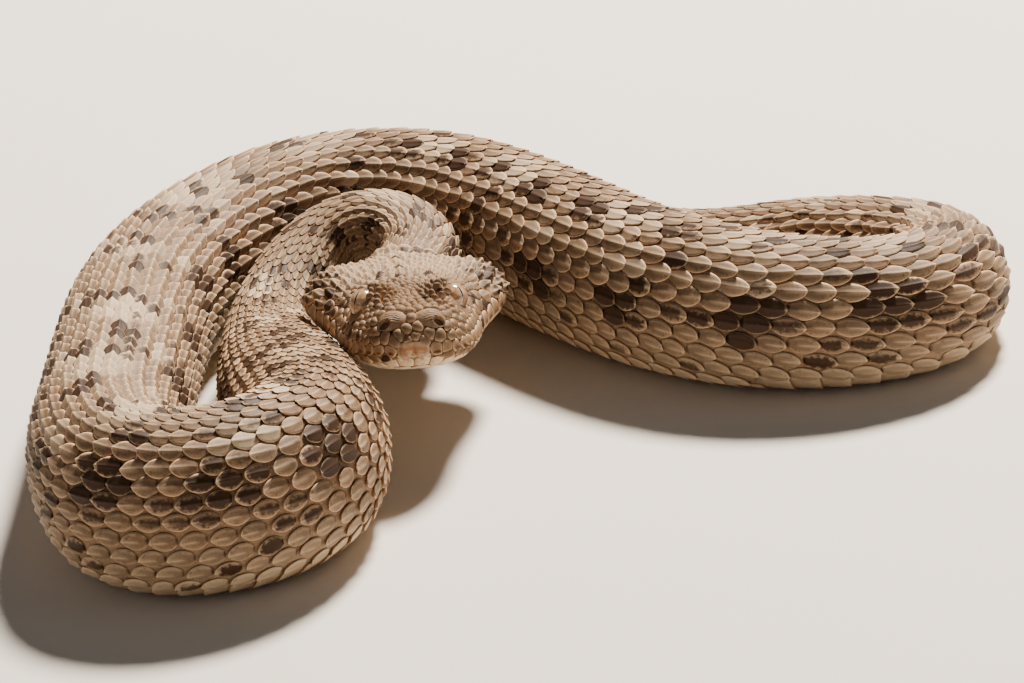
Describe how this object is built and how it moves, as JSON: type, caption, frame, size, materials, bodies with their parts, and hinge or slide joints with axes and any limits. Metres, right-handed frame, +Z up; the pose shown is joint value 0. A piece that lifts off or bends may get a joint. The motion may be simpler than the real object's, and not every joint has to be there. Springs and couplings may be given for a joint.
{
  "type": "coiled snake",
  "caption": "Life-size still model of a desert adder lying coiled on its belly, its broad head raised a little over the coil, eyes open, mouth shut, tail tapering behind.",
  "frame": {"origin": "on the floor, under the middle of the coiled animal", "axes": "+Z up from the floor; the head faces -Y; +X is towards the animal's own left, where the hind body turns back"},
  "size_m": [0.0674, 0.0621, 0.0121],
  "materials": {
    "skin": "dry matt scales, sandy buff with dark brown and cream spots",
    "eye": "wet gloss, coppery iris with an upright slit pupil"
  },
  "bodies": {
    "root": {"head": "skin", "lower_jaw": "skin", "eye_left": "eye", "eye_right": "eye", "neck": "skin", "trunk_1": "skin", "trunk_2": "skin", "trunk_3": "skin", "trunk_4": "skin", "trunk_5": "skin", "trunk_6": "skin", "trunk_7": "skin", "trunk_8": "skin", "trunk_9": "skin", "tail": "skin"}
  },
  "joints": []
}
